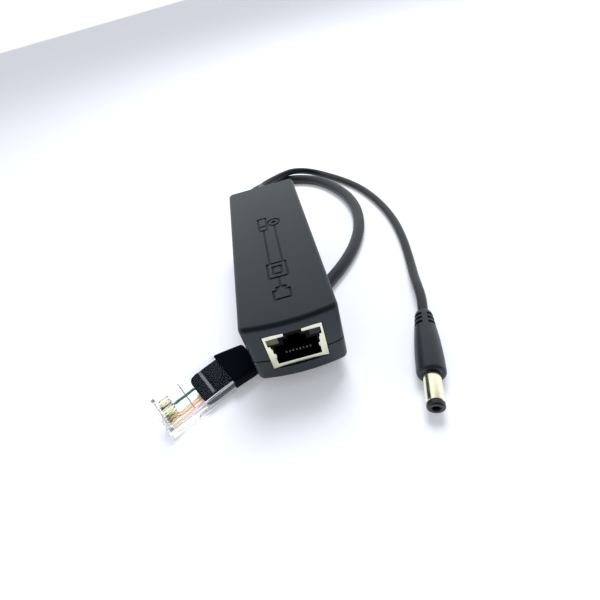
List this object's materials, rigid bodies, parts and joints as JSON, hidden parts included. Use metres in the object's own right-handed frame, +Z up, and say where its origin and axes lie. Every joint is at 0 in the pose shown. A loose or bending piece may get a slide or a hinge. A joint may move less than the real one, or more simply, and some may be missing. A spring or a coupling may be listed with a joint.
{
  "type": "poe splitter",
  "caption": "Slim plastic box that takes power off a network line: a socket in its nose, and at its tail a network lead with a clear plug and a power lead with a barrel plug.",
  "frame": {"origin": "middle of the housing, leads and plugs left out", "axes": "+X right as seen from above with the socket towards the viewer, +Y along the housing from the socket to the tail with the leads, +Z up from the flat base to the top face"},
  "size_m": [0.1003, 0.1589, 0.0274],
  "materials": {
    "housing": "fine matte",
    "shield": "satin nickel",
    "insert": "matte",
    "contact": "gold plated",
    "green_light": "translucent",
    "grey_light": "translucent",
    "board": "solder mask",
    "component": "moulded",
    "can": "sleeved",
    "ferrite": "sintered",
    "winding": "taped",
    "lead_wire": "satin",
    "jacket": "satin",
    "boot": "satin",
    "clear": "clear",
    "barrel": "bright",
    "grip": "satin",
    "tip": "satin"
  },
  "bodies": {
    "root": {"top_cover": "housing", "bottom_shell": "housing", "jack_shield": "shield", "jack_insert": "insert", "jack_contacts": "contact", "link_light": "green_light", "activity_light": "grey_light", "circuit_board": "board", "data_transformer": "component", "bridge_rectifiers": "component", "input_capacitor": "can", "power_controller": "component", "switching_transistor": "component", "transformer_core": "ferrite", "transformer_winding": "winding", "optocoupler": "component", "output_diode": "component", "output_capacitors": "can", "output_inductor": "ferrite", "network_leads": "lead_wire", "power_leads": "lead_wire", "network_strain_relief": "boot", "power_strain_relief": "boot", "network_cable": "jacket", "network_plug_boot": "boot", "network_plug_body": "clear", "network_plug_contacts": "contact", "network_plug_wires": "lead_wire", "power_cord": "jacket", "power_plug_grip": "grip", "power_plug_barrel": "barrel", "power_plug_insulator": "tip", "power_plug_contact": "contact"}
  },
  "joints": []
}
